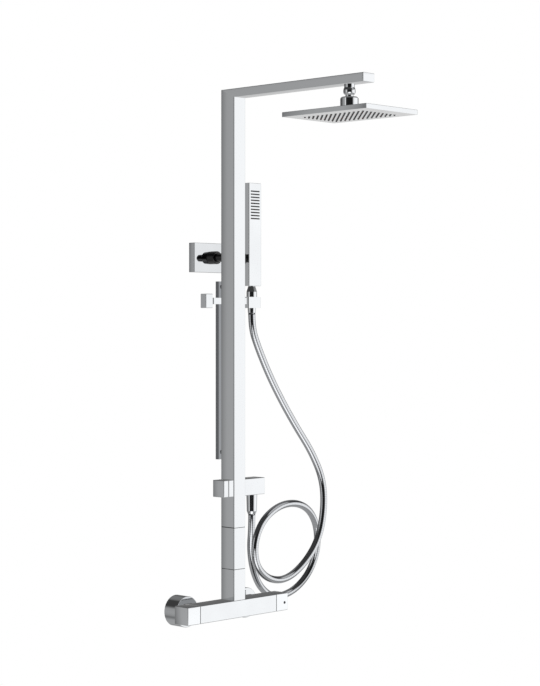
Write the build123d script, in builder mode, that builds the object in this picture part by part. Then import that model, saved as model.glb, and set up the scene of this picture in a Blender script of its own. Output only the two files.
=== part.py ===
from build123d import *
import os
from math import pi, radians, sqrt, tan

# Rainfall shower column: an exposed thermostatic mixer carries a square riser with a rain head
# on a ball joint, a hand shower on a sliding holder, and the hose that feeds it.
#
# Millimetres. +Z up, X along the wall (to the right for someone facing it), -Y out of the wall.
# The origin lies on the wall, midway between the two supply pipes and level with them.

os.makedirs("parts", exist_ok=True)

# ---- driving dimensions -------------------------------------------------------------------
centres = 150.0  # between the two supply pipes
supply_thread_r = 10.48  # G 1/2
union_thread_r = 13.2  # G 3/4
rosette_r, rosette_depth = 27.5, 30.0

mixer_width, mixer_depth, mixer_height = 252.0, 34.0, 31.4
mixer_y, mixer_z = -69.0, 2.9  # the knobs' axis
knob_length, knob_gap = 29.2, 1.4
chamber_r, chamber_depth = 11.0, 58.0
spindle_r = 4.0

column_width, column_depth = 28.5, 33.0
column_y = -70.5
wall = 1.5  # of the square tubes
seam = 1.0
lower_seam_z, upper_seam_z = 74.0, 148.0
arm_top_z, arm_height = 929.5, 15.0
arm_reach = 390.0

head_width, head_length, head_thick = 133.0, 188.0, 8.0
head_y, head_bottom_z = -347.0, 861.0
ball_z, ball_r = 881.0, 11.0
nozzle_pitch, nozzles_x, nozzles_y = 10.0, 9, 14

plate_width, plate_height, plate_depth, plate_z = 83.2, 53.0, 14.0, 630.5
screw_spacing, screw_hole_r = 50.0, 2.75

rail_width, rail_back_y, rail_front_y = 16.0, -33.5, -41.0
rail_bottom_z, rail_top_z = 267.5, 587.4
standoff_r = 4.0

slider_z, slider_height = 552.15, 11.3
holder_x, holder_y = 48.0, -70.0  # the hand shower's axis
holder_z = 549.65
handset_width, handset_thick = 31.4, 17.5
handset_bottom_z, handset_top_z = 579.5, 765.0
slot_count, slot_width, slot_height, slot_pitch, slot_first_z = 10, 23.0, 2.6, 5.47, 701.0

outlet_z, outlet_height, outlet_depth, outlet_y = 218.5, 30.0, 28.0, -71.0
outlet_left_x, outlet_right_x = -24.5, 66.5
hose_d = 13.0
hose_bore_r = 4.5

# The hose's route, from the hand shower's nut down, once round, and up to the outlet.
hose_route = [
    (48, -70, 531), (48, -70, 504), (62, -71, 470), (91, -73, 416), (123, -77, 365),
    (155, -81, 320), (189, -88, 273), (211, -96, 221), (210, -100, 167), (197, -98, 111),
    (168, -90, 69), (128, -82, 42), (85, -79, 45), (52, -78, 71), (43, -80, 112),
    (60, -83, 154), (100, -85, 179), (146, -85, 183), (189, -82, 167), (219, -75, 130),
    (228, -66, 84), (216, -55, 40), (186, -42, 9), (142, -36, 2), (102, -40, 24),
    (74, -48, 60), (55, -59, 103), (48, -70, 142), (48, -70, 168),
]  # fmt: skip

half = mixer_width / 2
body_half = half - knob_length - knob_gap
mixer_back = mixer_y + mixer_depth / 2
mixer_top = mixer_z + mixer_height / 2
column_back = column_y + column_depth / 2
column_front = column_y - column_depth / 2
arm_z = arm_top_z - arm_height / 2
pipe_z = arm_z
column_axis = Axis((0, column_y, 0), (0, 0, 1))
ball_axis = Axis((0, head_y, 0), (0, 0, 1))
holder_axis = Axis((holder_x, holder_y, 0), (0, 0, 1))

pieces = []

# ---- wall connections ---------------------------------------------------------------------
# Each supply has a union screwed into the wall, a round cover over it, and a union nut that
# draws the mixer's tail onto the union's face with a strainer washer between them.
for side, x in (("hot", -centres / 2), ("cold", centres / 2)):
    with BuildPart() as union:
        with BuildSketch(Plane.XZ.offset(-15)):
            with Locations((x, 0)):
                Circle(supply_thread_r)
        extrude(amount=15)
        with BuildSketch(Plane.XZ):
            with Locations((x, 0)):
                Circle(12)
        extrude(amount=8)
        with BuildSketch(Plane.XZ.offset(8)):
            with Locations((x, 0)):
                Circle(11)
        extrude(amount=22)
        with BuildSketch(Plane.XZ.offset(30)):
            with Locations((x, 0)):
                Circle(union_thread_r)
        extrude(amount=14)
        with BuildSketch(Plane.XZ.offset(-15)):
            with Locations((x, 0)):
                Circle(6.5)
        extrude(amount=59, mode=Mode.SUBTRACT)
        chamfer(union.edges().filter_by(GeomType.CIRCLE).sort_by(Axis.Y)[-2:], 0.8)
    union.part.label = f"inlet_union_{side}"
    pieces.append(union)

    with BuildPart() as rosette:
        with BuildSketch(Plane.XZ.offset(0.3)):
            with Locations((x, 0)):
                Circle(rosette_r)
        extrude(amount=rosette_depth - 0.3)
        fillet(rosette.edges().filter_by(GeomType.CIRCLE).sort_by(Axis.Y)[0], 1.0)
        with BuildSketch(Plane.XZ.offset(0.3)):
            with Locations((x, 0)):
                Circle(rosette_r - 1.2)
        extrude(amount=rosette_depth - 1.8, mode=Mode.SUBTRACT)
        with BuildSketch(Plane.XZ.offset(10)):
            with Locations((x, 0)):
                Circle(11.4)
        extrude(amount=30, mode=Mode.SUBTRACT)
    rosette.part.label = f"rosette_{side}"
    pieces.append(rosette)

    with BuildPart() as strainer:
        with BuildSketch(Plane.XZ.offset(44)):
            with Locations((x, 0)):
                Circle(12.4)
                with GridLocations(3, 3, 3, 3):
                    Circle(0.9, mode=Mode.SUBTRACT)
        extrude(amount=1.5)
    strainer.part.label = f"inlet_strainer_{side}"
    pieces.append(strainer)

    with BuildPart() as tail:
        with BuildSketch(Plane.XZ.offset(45.6)):
            with Locations((x, 0)):
                Circle(12.8)
        extrude(amount=2.6)
        with BuildSketch(Plane.XZ.offset(45.6)):
            with Locations((x, 0)):
                Circle(9.0)
        extrude(amount=11.4)
        with BuildSketch(Plane.XZ.offset(45.6)):
            with Locations((x, 0)):
                Circle(6.5)
        extrude(amount=11.4, mode=Mode.SUBTRACT)
    tail.part.label = f"inlet_tail_{side}"
    pieces.append(tail)

    with BuildPart() as nut:
        with BuildSketch(Plane.XZ.offset(31)):
            with Locations((x, 0)):
                RegularPolygon(17.3, 6)
        extrude(amount=20.2)
        with BuildSketch(Plane.XZ.offset(31)):
            with Locations((x, 0)):
                Circle(union_thread_r + 0.05)
        extrude(amount=17.3, mode=Mode.SUBTRACT)
        with BuildSketch(Plane.XZ.offset(31)):
            with Locations((x, 0)):
                Circle(9.1)
        extrude(amount=20.2, mode=Mode.SUBTRACT)
    nut.part.label = f"union_nut_{side}"
    pieces.append(nut)

# ---- mixer --------------------------------------------------------------------------------
# A square brass bar with a cartridge chamber bored in from each end, the two inlets at the
# back and the outlet on top. The knobs have the bar's own section.
with BuildPart() as mixer_body:
    with BuildSketch(Plane.YZ.offset(-body_half)):
        with Locations((mixer_y, mixer_z)):
            RectangleRounded(mixer_depth, mixer_height, 1.2)
    extrude(amount=2 * body_half)
    for end, way in ((-body_half, 1), (body_half, -1)):
        with BuildSketch(Plane.YZ.offset(end)):
            with Locations((mixer_y, mixer_z)):
                Circle(chamber_r)
        extrude(amount=way * chamber_depth, mode=Mode.SUBTRACT)
    with BuildSketch(Plane.YZ.offset(-body_half)):
        with Locations((mixer_y, mixer_z)):
            Circle(5)
    extrude(amount=2 * body_half, mode=Mode.SUBTRACT)
    with BuildSketch(Plane.XZ.offset(-mixer_back)):
        with Locations((-centres / 2, 0), (centres / 2, 0)):
            Circle(9.05)
    extrude(amount=5.5, mode=Mode.SUBTRACT)
    with BuildSketch(Plane.XZ.offset(-mixer_back)):
        with Locations((-centres / 2, 0), (centres / 2, 0)):
            Circle(6.5)
    extrude(amount=10, mode=Mode.SUBTRACT)
    with BuildSketch(Plane.XY.offset(mixer_top)):
        with Locations((0, column_y)):
            Circle(8.05)
    extrude(amount=-9, mode=Mode.SUBTRACT)
    with BuildSketch(Plane.XY.offset(mixer_top)):
        with Locations((0, column_y)):
            Circle(4)
    extrude(amount=-16, mode=Mode.SUBTRACT)
mixer_body.part.label = "mixer_body"
pieces.append(mixer_body)

# The flow side holds a ceramic-disc cartridge and the temperature side a thermostat.
for name, way in (("flow", -1), ("thermostat", 1)):
    inner_x = way * (body_half - chamber_depth + 1)
    outer_x = way * body_half
    with BuildPart() as cartridge:
        with BuildSketch(Plane.YZ.offset(inner_x)):
            with Locations((mixer_y, mixer_z)):
                Circle(chamber_r - 0.05)
        extrude(amount=outer_x - inner_x)
        with BuildSketch(Plane.YZ.offset(outer_x)):
            with Locations((mixer_y, mixer_z)):
                Circle(spindle_r + 0.05)
        extrude(amount=-way * 13, mode=Mode.SUBTRACT)
        for groove in (12, 30):
            with BuildSketch(Plane.YZ.offset(inner_x + way * groove)):
                with Locations((mixer_y, mixer_z)):
                    Circle(chamber_r)
                    Circle(chamber_r - 2.5, mode=Mode.SUBTRACT)
            extrude(amount=way * 12, mode=Mode.SUBTRACT)
    cartridge.part.label = f"{name}_cartridge"
    pieces.append(cartridge)

    with BuildPart() as spindle:
        with BuildSketch(Plane.YZ.offset(outer_x - way * 12)):
            with Locations((mixer_y, mixer_z)):
                Circle(spindle_r)
        extrude(amount=way * 27)
    spindle.part.label = f"{name}_spindle"
    pieces.append(spindle)

button_x, button_z, button_r = half - 8.6, 1.6, 2.5
front_y = mixer_y - mixer_depth / 2

for name, way in (("flow_knob", -1), ("temperature_knob", 1)):
    with BuildPart() as knob:
        with BuildSketch(Plane.YZ.offset(way * (half - knob_length))):
            with Locations((mixer_y, mixer_z)):
                RectangleRounded(mixer_depth, mixer_height, 1.2)
        extrude(amount=way * knob_length)
        end_face = knob.faces().sort_by(Axis.X)[-1 if way > 0 else 0]
        fillet(end_face.edges(), 0.8)
        with BuildSketch(Plane.YZ.offset(way * (half - knob_length))):
            with Locations((mixer_y, mixer_z)):
                Circle(spindle_r + 0.03)
        extrude(amount=way * 15, mode=Mode.SUBTRACT)
        if way > 0:
            with BuildSketch(Plane.XZ.offset(-front_y)):
                with Locations((button_x, button_z)):
                    Circle(button_r + 0.06)
            extrude(amount=-9, mode=Mode.SUBTRACT)
    knob.part.label = name
    pieces.append(knob)

# The temperature stop is overridden by pressing this small sprung button.
with BuildPart() as override_button:
    with BuildSketch(Plane.XZ.offset(-front_y - 4)):
        with Locations((button_x, button_z)):
            Circle(button_r)
    extrude(amount=4.6)
    fillet(override_button.edges().filter_by(GeomType.CIRCLE).sort_by(Axis.Y)[0], 0.4)
override_button.part.label = "override_button"
pieces.append(override_button)

with BuildPart() as button_spring:
    with BuildSketch(Plane.XZ.offset(-front_y - 8.9)):
        with Locations((button_x, button_z)):
            Circle(2.1)
            Circle(1.6, mode=Mode.SUBTRACT)
    extrude(amount=4.8)
button_spring.part.label = "button_spring"
pieces.append(button_spring)

# ---- riser --------------------------------------------------------------------------------
# Three lengths of square tube stand on each other over one inner core, with a fine seam
# between them, and the last is mitred and welded to the arm.
with BuildPart() as riser_coupling:
    with BuildSketch(Plane.XY.offset(mixer_top - 9)):
        with Locations((0, column_y)):
            Circle(8)
    extrude(amount=9)
    with BuildSketch(Plane.XY.offset(mixer_top)):
        with Locations((0, column_y)):
            RegularPolygon(12, 6)
    extrude(amount=10)
    with BuildSketch(Plane.XY.offset(mixer_top - 9)):
        with Locations((0, column_y)):
            Circle(4)
    extrude(amount=19, mode=Mode.SUBTRACT)
    with BuildSketch(Plane.XY.offset(mixer_top + 10)):
        with Locations((0, column_y)):
            Circle(5.05)
    extrude(amount=-6, mode=Mode.SUBTRACT)
riser_coupling.part.label = "riser_coupling"
pieces.append(riser_coupling)

for name, bottom, top in (
    ("riser_lower_tube", mixer_top + 0.2, lower_seam_z - seam / 2),
    ("riser_sleeve", lower_seam_z + seam / 2, upper_seam_z - seam / 2),
):
    with BuildPart() as tube:
        with BuildSketch(Plane.XY.offset(bottom)):
            with Locations((0, column_y)):
                RectangleRounded(column_width, column_depth, 1.0)
                Rectangle(column_width - 2 * wall, column_depth - 2 * wall, mode=Mode.SUBTRACT)
        extrude(amount=top - bottom)
    tube.part.label = name
    pieces.append(tube)

with BuildPart() as riser_core:
    with BuildSketch(Plane.XY.offset(lower_seam_z - 14)):
        with Locations((0, column_y)):
            Rectangle(column_width - 2 * wall - 0.2, column_depth - 2 * wall - 0.2)
            Rectangle(column_width - 2 * wall - 4, column_depth - 2 * wall - 4, mode=Mode.SUBTRACT)
    extrude(amount=upper_seam_z - lower_seam_z + 28)
riser_core.part.label = "riser_core"
pieces.append(riser_core)

# The riser and the arm are one outline, seen from the side, cut apart at the mitre.
arm_bottom_z = arm_top_z - arm_height
arm_end_y = -arm_reach + 2
mitre = Plane(
    origin=(0, column_front, arm_bottom_z),
    x_dir=(1, 0, 0),
    z_dir=(0, -arm_height, column_depth),
)
riser_bottom_z = upper_seam_z + seam / 2
for name, kept in (("riser_tube", Keep.BOTTOM), ("arm_tube", Keep.TOP)):
    with BuildPart() as tube:
        with BuildSketch(Plane.YZ):
            with BuildLine():
                Polyline(
                    (column_back, riser_bottom_z),
                    (column_back, arm_top_z),
                    (arm_end_y, arm_top_z),
                    (arm_end_y, arm_bottom_z),
                    (column_front, arm_bottom_z),
                    (column_front, riser_bottom_z),
                    close=True,
                )
            make_face()
        extrude(amount=column_width / 2, both=True)
        long_edges = tube.faces().filter_by(Axis.X).edges()
        fillet(long_edges.filter_by(Axis.Z) + long_edges.filter_by(Axis.Y), 1.0)
        with BuildSketch(Plane.YZ):
            with BuildLine():
                Polyline(
                    (column_back - wall, riser_bottom_z - 1),
                    (column_back - wall, arm_top_z - wall),
                    (arm_end_y - 1, arm_top_z - wall),
                    (arm_end_y - 1, arm_bottom_z + wall),
                    (column_front + wall, arm_bottom_z + wall),
                    (column_front + wall, riser_bottom_z - 1),
                    close=True,
                )
            make_face()
        extrude(amount=column_width / 2 - wall, both=True, mode=Mode.SUBTRACT)
        split(bisect_by=mitre, keep=kept)
        if name == "riser_tube":
            # windows for the outlet body, and the clearance hole of the wall bracket
            with BuildSketch(Plane.YZ):
                with Locations((outlet_y, outlet_z)):
                    Rectangle(outlet_depth + 0.2, outlet_height + 0.2)
            extrude(amount=column_width, both=True, mode=Mode.SUBTRACT)
            with BuildSketch(Plane.XZ.offset(-column_back - 1)):
                with Locations((0, plate_z)):
                    Circle(4.1)
            extrude(amount=4, mode=Mode.SUBTRACT)
        else:
            with BuildSketch(Plane.XY.offset(arm_bottom_z - 1)):
                with Locations((0, head_y)):
                    Circle(8.1)
            extrude(amount=4, mode=Mode.SUBTRACT)
    tube.part.label = name
    pieces.append(tube)

with BuildPart() as arm_end_cap:
    with BuildSketch(Plane.XZ.offset(-arm_end_y)):
        with Locations((0, arm_z)):
            RectangleRounded(column_width, arm_height, 1.0)
    extrude(amount=2)
    fillet(arm_end_cap.faces().sort_by(Axis.Y)[0].edges(), 0.5)
    with BuildSketch(Plane.XZ.offset(-arm_end_y)):
        with Locations((0, arm_z)):
            Rectangle(column_width - 2 * wall - 0.2, arm_height - 2 * wall - 0.2)
    extrude(amount=-8)
arm_end_cap.part.label = "arm_end_cap"
pieces.append(arm_end_cap)

# The water runs in its own pipes inside the tubes.
with BuildPart() as lower_pipe:
    with BuildSketch(Plane.XY.offset(mixer_top + 4.2)):
        with Locations((0, column_y)):
            Circle(5)
            Circle(4, mode=Mode.SUBTRACT)
    extrude(amount=outlet_z - outlet_height / 2 + 6 - mixer_top - 4.2)
lower_pipe.part.label = "lower_pipe"
pieces.append(lower_pipe)

with BuildPart() as riser_pipe:
    with BuildLine() as pipe_path:
        FilletPolyline(
            (0, column_y, outlet_z + outlet_height / 2 - 6),
            (0, column_y, pipe_z),
            (0, head_y + 8.6, pipe_z),
            radius=14,
        )
    with BuildSketch(Plane.XY.offset(outlet_z + outlet_height / 2 - 6)):
        with Locations((0, column_y)):
            Circle(4.5)
            Circle(3.5, mode=Mode.SUBTRACT)
    sweep(path=pipe_path.line)
riser_pipe.part.label = "riser_pipe"
pieces.append(riser_pipe)

with BuildPart() as arm_outlet_block:
    with BuildSketch(Plane.XY.offset(arm_bottom_z + wall + 0.1)):
        with Locations((0, head_y)):
            Rectangle(22, 20)
    extrude(amount=arm_height - 2 * wall - 0.2)
    with BuildSketch(Plane.XY.offset(arm_bottom_z)):
        with Locations((0, head_y)):
            Circle(8.02)
    extrude(amount=11.5, mode=Mode.SUBTRACT)
    with BuildSketch(Plane.XZ.offset(-head_y - 10)):
        with Locations((0, pipe_z)):
            Circle(4.55)
    extrude(amount=1.5, mode=Mode.SUBTRACT)
    with BuildSketch(Plane.XZ.offset(-head_y - 10)):
        with Locations((0, pipe_z)):
            Circle(3.5)
    extrude(amount=8, mode=Mode.SUBTRACT)
arm_outlet_block.part.label = "arm_outlet_block"
pieces.append(arm_outlet_block)

# ---- rain head ----------------------------------------------------------------------------
# The ball is turned in one piece with the stem that screws into the arm. The head's boss and
# nut hold it in a split seat, so the head turns about the stem and tilts.
neck_r, stem_bore_r = 6.75, 3.5
with BuildPart() as ball_stem:
    with BuildSketch(Plane.XZ.offset(-head_y)):
        with BuildLine():
            bottom = (stem_bore_r, ball_z - sqrt(ball_r**2 - stem_bore_r**2))
            shoulder = (neck_r, ball_z + sqrt(ball_r**2 - neck_r**2))
            ThreePointArc(bottom, (ball_r, ball_z), shoulder)
            Line(shoulder, (neck_r, 896))
            ThreePointArc((neck_r, 896), (9.6, 898.2), (10.35, 901.5))
            ThreePointArc((10.35, 901.5), (10.2, 905), (8.9, 908.5))
            Polyline((8.9, 908.5), (8.9, arm_bottom_z), (8, arm_bottom_z), (8, arm_bottom_z + 9.5),
                     (stem_bore_r, arm_bottom_z + 9.5), bottom)  # fmt: skip
        make_face()
    revolve(axis=ball_axis)
ball_stem.part.label = "ball_stem"
pieces.append(ball_stem)

seat_in, seat_out, seat_half = ball_r + 0.05, ball_r + 1.4, 5.0
with BuildPart() as ball_seat_ring:
    with BuildSketch(Plane.XZ.offset(-head_y)):
        with BuildLine():
            low_in = (sqrt(seat_in**2 - seat_half**2), ball_z - seat_half)
            high_in = (sqrt(seat_in**2 - seat_half**2), ball_z + seat_half)
            low_out = (sqrt(seat_out**2 - seat_half**2), ball_z - seat_half)
            high_out = (sqrt(seat_out**2 - seat_half**2), ball_z + seat_half)
            ThreePointArc(low_in, (seat_in, ball_z), high_in)
            Line(high_in, high_out)
            ThreePointArc(high_out, (seat_out, ball_z), low_out)
            Line(low_out, low_in)
        make_face()
    revolve(axis=ball_axis)
ball_seat_ring.part.label = "ball_seat_ring"
pieces.append(ball_seat_ring)

socket_r = seat_out + 0.06
head_top_z = head_bottom_z + head_thick
mouth_r = sqrt(socket_r**2 - 8**2)
with BuildPart() as head_boss:
    with BuildSketch(Plane.XZ.offset(-head_y)):
        with BuildLine():
            rim = (sqrt(socket_r**2 - 0.5**2), ball_z - 0.5)
            ThreePointArc((mouth_r, ball_z - 8), (socket_r * 0.925, ball_z - socket_r * 0.38), rim)
            Polyline(rim, (13.6, ball_z - 0.5), (13.6, head_top_z), (mouth_r, head_top_z),
                     (mouth_r, ball_z - 8))  # fmt: skip
        make_face()
    revolve(axis=ball_axis)
head_boss.part.label = "head_boss"
pieces.append(head_boss)

with BuildPart() as socket_nut:
    with BuildSketch(Plane.XZ.offset(-head_y)):
        with BuildLine():
            rim = (sqrt(socket_r**2 - 0.3**2), ball_z - 0.3)
            ThreePointArc(rim, (socket_r * 0.925, ball_z + socket_r * 0.38), (mouth_r, ball_z + 8))
            Polyline((mouth_r, ball_z + 8), (10.4, ball_z + 11.6), (13.2, ball_z + 11.6),
                     (15.5, ball_z + 9.3), (15.5, head_top_z + 0.1), (13.65, head_top_z + 0.1),
                     (13.65, ball_z - 0.3), rim)  # fmt: skip
        make_face()
    revolve(axis=ball_axis)
socket_nut.part.label = "socket_nut"
pieces.append(socket_nut)

# The head is a thin folded box closed below by the spray plate. A silicone mat lies on the
# plate with one soft nozzle through each hole.
shell_wall = 1.2
with BuildPart() as head_shell:
    with BuildSketch(Plane.XY.offset(head_bottom_z)):
        with Locations((0, head_y)):
            RectangleRounded(head_width, head_length, 1.5)
    extrude(amount=head_thick)
    fillet(head_shell.faces().sort_by(Axis.Z)[-1].edges(), 0.5)
    with BuildSketch(Plane.XY.offset(head_bottom_z)):
        with Locations((0, head_y)):
            Rectangle(head_width - 2 * shell_wall, head_length - 2 * shell_wall)
    extrude(amount=head_thick - shell_wall, mode=Mode.SUBTRACT)
    with BuildSketch(Plane.XY.offset(head_top_z)):
        with Locations((0, head_y)):
            Circle(8)
    extrude(amount=-3, mode=Mode.SUBTRACT)
head_shell.part.label = "head_shell"
pieces.append(head_shell)

with BuildPart() as head_spray_plate:
    with BuildSketch(Plane.XY.offset(head_bottom_z)):
        with Locations((0, head_y)):
            Rectangle(head_width - 2 * shell_wall - 0.1, head_length - 2 * shell_wall - 0.1)
            with GridLocations(nozzle_pitch, nozzle_pitch, nozzles_x, nozzles_y):
                Circle(1.75, mode=Mode.SUBTRACT)
    extrude(amount=1.2)
head_spray_plate.part.label = "head_spray_plate"
pieces.append(head_spray_plate)

with BuildPart() as nozzle_mat:
    with BuildSketch(Plane.XY.offset(head_bottom_z + 1.2)):
        with Locations((0, head_y)):
            Rectangle(nozzle_pitch * (nozzles_x + 1), nozzle_pitch * (nozzles_y + 1))
    extrude(amount=1.2)
    with BuildSketch(Plane.XY.offset(head_bottom_z + 1.2)):
        with Locations((0, head_y)):
            with GridLocations(nozzle_pitch, nozzle_pitch, nozzles_x, nozzles_y):
                Circle(1.65)
    extrude(amount=-3, taper=8)
nozzle_mat.part.label = "nozzle_mat"
pieces.append(nozzle_mat)

# ---- wall bracket -------------------------------------------------------------------------
# A base is screwed to the wall and hidden by a box cover. The turned post screws into the
# base at one end and into an anchor inside the riser at the other.
with BuildPart() as bracket_base:
    with BuildSketch(Plane.XZ):
        with Locations((0, plate_z)):
            RectangleRounded(70, 42, 3)
            Circle(5.05, mode=Mode.SUBTRACT)
            with GridLocations(screw_spacing, 1, 2, 1):
                Circle(screw_hole_r, mode=Mode.SUBTRACT)
    extrude(amount=4)
bracket_base.part.label = "bracket_base"
pieces.append(bracket_base)

with BuildPart() as bracket_cover:
    with BuildSketch(Plane.XZ):
        with Locations((0, plate_z)):
            RectangleRounded(plate_width, plate_height, 1.0)
    extrude(amount=plate_depth)
    fillet(bracket_cover.faces().sort_by(Axis.Y)[0].edges(), 0.6)
    with BuildSketch(Plane.XZ):
        with Locations((0, plate_z)):
            Rectangle(plate_width - 2.4, plate_height - 2.4)
    extrude(amount=plate_depth - 1.2, mode=Mode.SUBTRACT)
    with BuildSketch(Plane.XZ):
        with Locations((0, plate_z)):
            Circle(5.2)
    extrude(amount=plate_depth + 1, mode=Mode.SUBTRACT)
bracket_cover.part.label = "bracket_cover"
pieces.append(bracket_cover)

with BuildPart() as bracket_post:
    for start, end, r in ((1, plate_depth, 5), (plate_depth, 31, 11.65), (31, 54, 7.65), (54, 61, 4)):
        with BuildSketch(Plane.XZ.offset(start)):
            with Locations((0, plate_z)):
                Circle(r)
        extrude(amount=end - start)
    rims = bracket_post.edges().filter_by(GeomType.CIRCLE).filter_by(
        lambda e: abs(e.radius - 11.65) < 0.01
    )
    fillet(rims, 1.6)
bracket_post.part.label = "bracket_post"
pieces.append(bracket_post)

with BuildPart() as bracket_anchor:
    with BuildSketch(Plane.XZ.offset(-column_back + wall + 0.1)):
        with Locations((0, plate_z)):
            Rectangle(20, 22)
            Circle(4.05, mode=Mode.SUBTRACT)
    extrude(amount=6)
bracket_anchor.part.label = "bracket_anchor"
pieces.append(bracket_anchor)

# ---- slide rail ---------------------------------------------------------------------------
with BuildPart() as slide_rail:
    with BuildSketch(Plane.XY.offset(rail_bottom_z)):
        with Locations((0, (rail_back_y + rail_front_y) / 2)):
            RectangleRounded(rail_width, rail_back_y - rail_front_y, 0.8)
    extrude(amount=rail_top_z - rail_bottom_z)
slide_rail.part.label = "slide_rail"
pieces.append(slide_rail)

standoff_low_z, standoff_high_z = rail_bottom_z + 13, rail_top_z - 10
for name, z in (("rail_standoff_low", standoff_low_z), ("rail_standoff_high", standoff_high_z)):
    with BuildPart() as standoff:
        with BuildSketch(Plane.XZ.offset(-rail_front_y)):
            with Locations((0, z)):
                Circle(standoff_r)
        extrude(amount=rail_front_y - column_back)
    standoff.part.label = name
    pieces.append(standoff)

# ---- slider and holder --------------------------------------------------------------------
# The slider's bar passes behind the riser, round the rail, and turns forward beside the riser.
# A plastic liner runs on the rail and the knob's screw clamps it.
bar_left_x, bar_right_x, bar_back_y, bar_front_y = -24.8, 27.5, -30.0, -46.0
clamp_y = (rail_back_y + rail_front_y) / 2
liner_w, liner_d = rail_width + 2.2, rail_back_y - rail_front_y + 2.2
with BuildPart() as slider_body:
    with BuildSketch(Plane.XY.offset(slider_z - slider_height / 2)):
        with BuildLine():
            Polyline(
                (bar_left_x, bar_back_y),
                (bar_right_x, bar_back_y),
                (bar_right_x, holder_y - 8),
                (bar_right_x - 9, holder_y - 8),
                (bar_right_x - 9, bar_front_y),
                (bar_left_x, bar_front_y),
                close=True,
            )
        make_face()
        with Locations((0, clamp_y)):
            Rectangle(liner_w + 0.1, liner_d + 0.1, mode=Mode.SUBTRACT)
    extrude(amount=slider_height)
    upright = slider_body.edges().filter_by(Axis.Z)
    fillet(upright.sort_by(Axis.X)[:2] + upright.group_by(Axis.X)[-1], 1.0)
    with BuildSketch(Plane.YZ.offset(bar_left_x - 1)):
        with Locations((clamp_y, slider_z)):
            Circle(3.05)
    extrude(amount=-bar_left_x - 5, mode=Mode.SUBTRACT)
    with BuildSketch(Plane.YZ.offset(bar_right_x)):
        with Locations((holder_y, holder_z)):
            Circle(3.02)
    extrude(amount=-7, mode=Mode.SUBTRACT)
slider_body.part.label = "slider_body"
pieces.append(slider_body)

with BuildPart() as slider_liner:
    with BuildSketch(Plane.XY.offset(slider_z - slider_height / 2)):
        with Locations((0, clamp_y)):
            Rectangle(liner_w, liner_d)
            Rectangle(rail_width + 0.1, rail_back_y - rail_front_y + 0.1, mode=Mode.SUBTRACT)
    extrude(amount=slider_height)
    with BuildSketch(Plane.YZ.offset(-liner_w)):
        with Locations((clamp_y, slider_z)):
            Circle(3.1)
    extrude(amount=liner_w, mode=Mode.SUBTRACT)
slider_liner.part.label = "slider_liner"
pieces.append(slider_liner)

with BuildPart() as clamp_knob:
    with BuildSketch(Plane.YZ.offset(-42.2)):
        with Locations((clamp_y - 0.15, slider_z)):
            RectangleRounded(14.2, 25.4, 1.0)
    extrude(amount=16.4)
    fillet(clamp_knob.faces().sort_by(Axis.X)[0].edges(), 0.7)
    with BuildSketch(Plane.YZ.offset(-25.8)):
        with Locations((clamp_y, slider_z)):
            Circle(3)
    extrude(amount=25.8 - rail_width / 2 - 0.3)
clamp_knob.part.label = "clamp_knob"
pieces.append(clamp_knob)

with BuildPart() as holder_pin:
    with BuildSketch(Plane.YZ.offset(bar_right_x - 6.8)):
        with Locations((holder_y, holder_z)):
            Circle(3)
    extrude(amount=14)
holder_pin.part.label = "holder_pin"
pieces.append(holder_pin)

# The hose's upper nut is a cone that drops into the holder; the slot lets the hose out.
cone_top_z, cone_bottom_z, cone_top_r, cone_bottom_r = 559.6, 540.0, 9.5, 7.6
holder_left_x, holder_right_x, holder_depth = 28.0, 60.0, 23.0
holder_bottom_z, cone_fit = 539.7, 0.08
slope = (cone_top_r - cone_bottom_r) / (cone_top_z - cone_bottom_z)
with BuildPart() as holder_cradle:
    with BuildSketch(Plane.XY.offset(holder_bottom_z)):
        with Locations(((holder_left_x + holder_right_x) / 2, holder_y)):
            RectangleRounded(holder_right_x - holder_left_x, holder_depth, 1.5)
    extrude(amount=cone_top_z - holder_bottom_z)
    with BuildSketch(Plane.XZ.offset(-holder_y)):
        with BuildLine():
            top_r = cone_top_r + cone_fit + slope
            low_r = cone_bottom_r + cone_fit - slope * (cone_bottom_z - holder_bottom_z + 1)
            Polyline((holder_x, cone_top_z + 1), (holder_x + top_r, cone_top_z + 1),
                     (holder_x + low_r, holder_bottom_z - 1), (holder_x, holder_bottom_z - 1),
                     close=True)  # fmt: skip
        make_face()
    revolve(axis=holder_axis, mode=Mode.SUBTRACT)
    with BuildSketch(Plane.XY.offset(holder_bottom_z - 1)):
        with Locations((holder_x + 15, holder_y)):
            Rectangle(30, 14.5)
    extrude(amount=22, mode=Mode.SUBTRACT)
    with BuildSketch(Plane.YZ.offset(holder_left_x)):
        with Locations((holder_y, holder_z)):
            Circle(3.05)
    extrude(amount=7.5, mode=Mode.SUBTRACT)
holder_cradle.part.label = "holder_cradle"
pieces.append(holder_cradle)

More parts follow.
